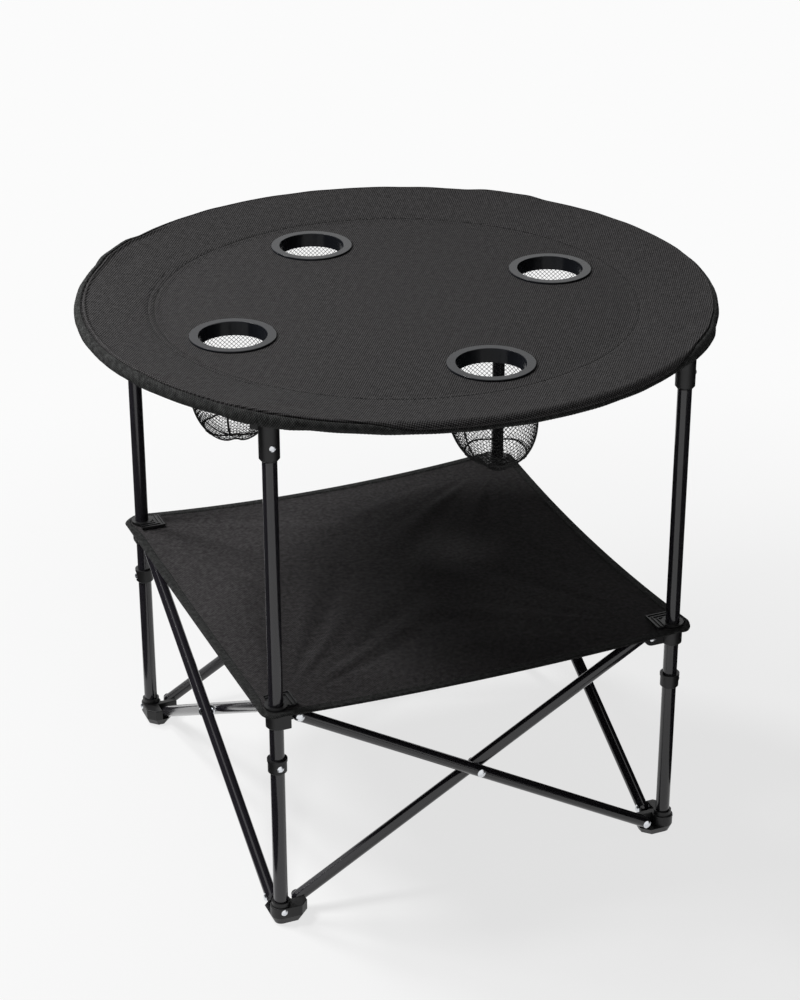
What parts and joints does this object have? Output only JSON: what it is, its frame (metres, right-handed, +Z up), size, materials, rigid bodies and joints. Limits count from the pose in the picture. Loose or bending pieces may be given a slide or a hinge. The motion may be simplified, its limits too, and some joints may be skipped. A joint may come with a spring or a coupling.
{
  "type": "folding beach table",
  "caption": "Round cloth-topped folding table on scissor-braced tube legs, with cup holders in the top and a slung cloth shelf below.",
  "frame": {"origin": "on the floor under the middle of the table", "axes": "+Z up, front side towards -Y, sides of the leg square along X and Y"},
  "size_m": [0.711, 0.711, 0.625],
  "materials": {
    "frame_tube": "satin black powder coat",
    "moulding": "matte black moulded plastic",
    "zinc": "bright zinc plate",
    "canvas": "black coated canvas",
    "rim_rod": "black flexible rod",
    "cup_plastic": "satin black plastic",
    "mesh": "black knotted mesh"
  },
  "bodies": {
    "front_left_leg": {"front_left_leg_tube": "frame_tube", "front_left_foot": "moulding", "front_left_hub": "moulding", "front_left_stop_collar": "moulding", "front_left_leg_screws": "zinc"},
    "front_left_slider": {"front_left_bracket": "moulding"},
    "front_right_leg": {"front_right_leg_tube": "frame_tube", "front_right_foot": "moulding", "front_right_hub": "moulding", "front_right_stop_collar": "moulding", "front_right_leg_screws": "zinc"},
    "front_right_slider": {"front_right_bracket": "moulding"},
    "rear_right_leg": {"rear_right_leg_tube": "frame_tube", "rear_right_foot": "moulding", "rear_right_hub": "moulding", "rear_right_stop_collar": "moulding", "rear_right_leg_screws": "zinc"},
    "rear_right_slider": {"rear_right_bracket": "moulding"},
    "rear_left_leg": {"rear_left_leg_tube": "frame_tube", "rear_left_foot": "moulding", "rear_left_hub": "moulding", "rear_left_stop_collar": "moulding", "rear_left_leg_screws": "zinc"},
    "rear_left_slider": {"rear_left_bracket": "moulding"},
    "front_inner_link": {"front_inner_bar": "frame_tube", "front_inner_rivets": "zinc"},
    "front_outer_link": {"front_outer_bar": "frame_tube", "front_outer_rivets": "zinc"},
    "front_top": {"front_top_cloth": "canvas", "front_rim_rod": "rim_rod"},
    "front_cup": {"front_cup_ring": "cup_plastic", "front_cup_pocket": "mesh"},
    "front_shelf": {"front_shelf_cloth": "canvas"},
    "right_inner_link": {"right_inner_bar": "frame_tube", "right_inner_rivets": "zinc"},
    "right_outer_link": {"right_outer_bar": "frame_tube", "right_outer_rivets": "zinc"},
    "right_top": {"right_top_cloth": "canvas", "right_rim_rod": "rim_rod"},
    "right_cup": {"right_cup_ring": "cup_plastic", "right_cup_pocket": "mesh"},
    "right_shelf": {"right_shelf_cloth": "canvas"},
    "rear_inner_link": {"rear_inner_bar": "frame_tube", "rear_inner_rivets": "zinc"},
    "rear_outer_link": {"rear_outer_bar": "frame_tube", "rear_outer_rivets": "zinc"},
    "rear_top": {"rear_top_cloth": "canvas", "rear_rim_rod": "rim_rod"},
    "rear_cup": {"rear_cup_ring": "cup_plastic", "rear_cup_pocket": "mesh"},
    "rear_shelf": {"rear_shelf_cloth": "canvas"},
    "left_inner_link": {"left_inner_bar": "frame_tube", "left_inner_rivets": "zinc"},
    "left_outer_link": {"left_outer_bar": "frame_tube", "left_outer_rivets": "zinc"},
    "left_top": {"left_top_cloth": "canvas", "left_rim_rod": "rim_rod"},
    "left_cup": {"left_cup_ring": "cup_plastic", "left_cup_pocket": "mesh"},
    "left_shelf": {"left_shelf_cloth": "canvas"}
  },
  "joints": [
    {"name": "fold", "type": "hinge", "parent": "front_left_leg", "child": "front_inner_link", "pos_m": [-0.2137, -0.238, 0.0165], "axis": [0, -1, 0], "range_deg": [0, 50]},
    {"name": "front_cross", "type": "hinge", "parent": "front_inner_link", "child": "front_outer_link", "pos_m": [0, -0.238, 0.13875], "axis": [0, -1, 0], "range_deg": [-100, 0]},
    {"name": "front_right_foot_pivot", "type": "hinge", "parent": "front_outer_link", "child": "front_right_leg", "pos_m": [0.2137, -0.238, 0.0165], "axis": [0, -1, 0], "range_deg": [0, 50]},
    {"name": "front_right_slider_pivot", "type": "hinge", "parent": "front_inner_link", "child": "front_right_slider", "pos_m": [0.2137, -0.238, 0.261], "axis": [0, -1, 0], "range_deg": [-50, 0]},
    {"name": "front_left_slider_pivot", "type": "hinge", "parent": "front_outer_link", "child": "front_left_slider", "pos_m": [-0.2137, -0.238, 0.261], "axis": [0, -1, 0], "range_deg": [0, 50]},
    {"name": "left_foot_pivot", "type": "hinge", "parent": "front_left_leg", "child": "left_outer_link", "pos_m": [-0.238, -0.2137, 0.0165], "axis": [-1, 0, 0], "range_deg": [-50, 0]},
    {"name": "left_cross", "type": "hinge", "parent": "left_outer_link", "child": "left_inner_link", "pos_m": [-0.238, 0, 0.13875], "axis": [-1, 0, 0], "range_deg": [0, 100]},
    {"name": "rear_left_foot_pivot", "type": "hinge", "parent": "left_inner_link", "child": "rear_left_leg", "pos_m": [-0.238, 0.2137, 0.0165], "axis": [-1, 0, 0], "range_deg": [-50, 0]},
    {"name": "rear_left_slider_pivot", "type": "hinge", "parent": "left_outer_link", "child": "rear_left_slider", "pos_m": [-0.238, 0.2137, 0.261], "axis": [-1, 0, 0], "range_deg": [0, 50]},
    {"name": "right_foot_pivot", "type": "hinge", "parent": "front_right_leg", "child": "right_inner_link", "pos_m": [0.238, -0.2137, 0.0165], "axis": [1, 0, 0], "range_deg": [0, 50]},
    {"name": "right_cross", "type": "hinge", "parent": "right_inner_link", "child": "right_outer_link", "pos_m": [0.238, 0, 0.13875], "axis": [1, 0, 0], "range_deg": [-100, 0]},
    {"name": "rear_right_foot_pivot", "type": "hinge", "parent": "right_outer_link", "child": "rear_right_leg", "pos_m": [0.238, 0.2137, 0.0165], "axis": [1, 0, 0], "range_deg": [0, 50]},
    {"name": "rear_right_slider_pivot", "type": "hinge", "parent": "right_inner_link", "child": "rear_right_slider", "pos_m": [0.238, 0.2137, 0.261], "axis": [1, 0, 0], "range_deg": [-50, 0]},
    {"name": "rear_foot_pivot", "type": "hinge", "parent": "rear_left_leg", "child": "rear_outer_link", "pos_m": [-0.2137, 0.238, 0.0165], "axis": [0, 1, 0], "range_deg": [-50, 0]},
    {"name": "rear_cross", "type": "hinge", "parent": "rear_outer_link", "child": "rear_inner_link", "pos_m": [0, 0.238, 0.13875], "axis": [0, 1, 0], "range_deg": [0, 100]},
    {"name": "front_top_fold", "type": "hinge", "parent": "front_left_leg", "child": "front_top", "pos_m": [-0.238, -0.238, 0.619], "axis": [-1, 0, 0], "range_deg": [0, 73.39], "deforming": ["front_top_cloth", "front_rim_rod"]},
    {"name": "front_shelf_fold", "type": "hinge", "parent": "front_left_slider", "child": "front_shelf", "pos_m": [-0.238, -0.238, 0.2741], "axis": [-1, 0, 0], "range_deg": [0, 73.39], "deforming": ["front_shelf_cloth"]},
    {"name": "front_cup_shift", "type": "slide", "parent": "front_top", "child": "front_cup", "axis": [-1, 0, 0], "range_m": [0, 0.18765], "deforming": ["front_cup_pocket"]},
    {"name": "right_top_fold", "type": "hinge", "parent": "front_right_leg", "child": "right_top", "pos_m": [0.238, -0.238, 0.619], "axis": [0, -1, 0], "range_deg": [0, 73.39], "deforming": ["right_top_cloth", "right_rim_rod"]},
    {"name": "right_shelf_fold", "type": "hinge", "parent": "front_right_slider", "child": "right_shelf", "pos_m": [0.238, -0.238, 0.2741], "axis": [0, -1, 0], "range_deg": [0, 73.39], "deforming": ["right_shelf_cloth"]},
    {"name": "right_cup_shift", "type": "slide", "parent": "right_top", "child": "right_cup", "axis": [0, -1, 0], "range_m": [0, 0.18765], "deforming": ["right_cup_pocket"]},
    {"name": "rear_top_fold", "type": "hinge", "parent": "rear_right_leg", "child": "rear_top", "pos_m": [0.238, 0.238, 0.619], "axis": [1, 0, 0], "range_deg": [0, 73.39], "deforming": ["rear_top_cloth", "rear_rim_rod"]},
    {"name": "rear_shelf_fold", "type": "hinge", "parent": "rear_right_slider", "child": "rear_shelf", "pos_m": [0.238, 0.238, 0.2741], "axis": [1, 0, 0], "range_deg": [0, 73.39], "deforming": ["rear_shelf_cloth"]},
    {"name": "rear_cup_shift", "type": "slide", "parent": "rear_top", "child": "rear_cup", "axis": [1, 0, 0], "range_m": [0, 0.18765], "deforming": ["rear_cup_pocket"]},
    {"name": "left_top_fold", "type": "hinge", "parent": "rear_left_leg", "child": "left_top", "pos_m": [-0.238, 0.238, 0.619], "axis": [0, 1, 0], "range_deg": [0, 73.39], "deforming": ["left_top_cloth", "left_rim_rod"]},
    {"name": "left_shelf_fold", "type": "hinge", "parent": "rear_left_slider", "child": "left_shelf", "pos_m": [-0.238, 0.238, 0.2741], "axis": [0, 1, 0], "range_deg": [0, 73.39], "deforming": ["left_shelf_cloth"]},
    {"name": "left_cup_shift", "type": "slide", "parent": "left_top", "child": "left_cup", "axis": [0, 1, 0], "range_m": [0, 0.18765], "deforming": ["left_cup_pocket"]}
  ],
  "couplings": [
    {"joint": "front_cross", "follows": "fold", "ratio": -2},
    {"joint": "front_right_foot_pivot", "follows": "fold", "ratio": 1},
    {"joint": "front_right_slider_pivot", "follows": "fold", "ratio": -1},
    {"joint": "front_left_slider_pivot", "follows": "fold", "ratio": 1},
    {"joint": "left_foot_pivot", "follows": "fold", "ratio": -1},
    {"joint": "left_cross", "follows": "fold", "ratio": 2},
    {"joint": "rear_left_foot_pivot", "follows": "fold", "ratio": -1},
    {"joint": "rear_left_slider_pivot", "follows": "fold", "ratio": 1},
    {"joint": "right_foot_pivot", "follows": "fold", "ratio": 1},
    {"joint": "right_cross", "follows": "fold", "ratio": -2},
    {"joint": "rear_right_foot_pivot", "follows": "fold", "ratio": 1},
    {"joint": "rear_right_slider_pivot", "follows": "fold", "ratio": -1},
    {"joint": "rear_foot_pivot", "follows": "fold", "ratio": -1},
    {"joint": "rear_cross", "follows": "fold", "ratio": 2},
    {"joint": "front_top_fold", "follows": "fold", "ratio": 1.4679},
    {"joint": "front_shelf_fold", "follows": "fold", "ratio": 1.4679},
    {"joint": "front_cup_shift", "follows": "fold", "m_per_rad": 0.21503},
    {"joint": "right_top_fold", "follows": "fold", "ratio": 1.4679},
    {"joint": "right_shelf_fold", "follows": "fold", "ratio": 1.4679},
    {"joint": "right_cup_shift", "follows": "fold", "m_per_rad": 0.21503},
    {"joint": "rear_top_fold", "follows": "fold", "ratio": 1.4679},
    {"joint": "rear_shelf_fold", "follows": "fold", "ratio": 1.4679},
    {"joint": "rear_cup_shift", "follows": "fold", "m_per_rad": 0.21503},
    {"joint": "left_top_fold", "follows": "fold", "ratio": 1.4679},
    {"joint": "left_shelf_fold", "follows": "fold", "ratio": 1.4679},
    {"joint": "left_cup_shift", "follows": "fold", "m_per_rad": 0.21503}
  ]
}
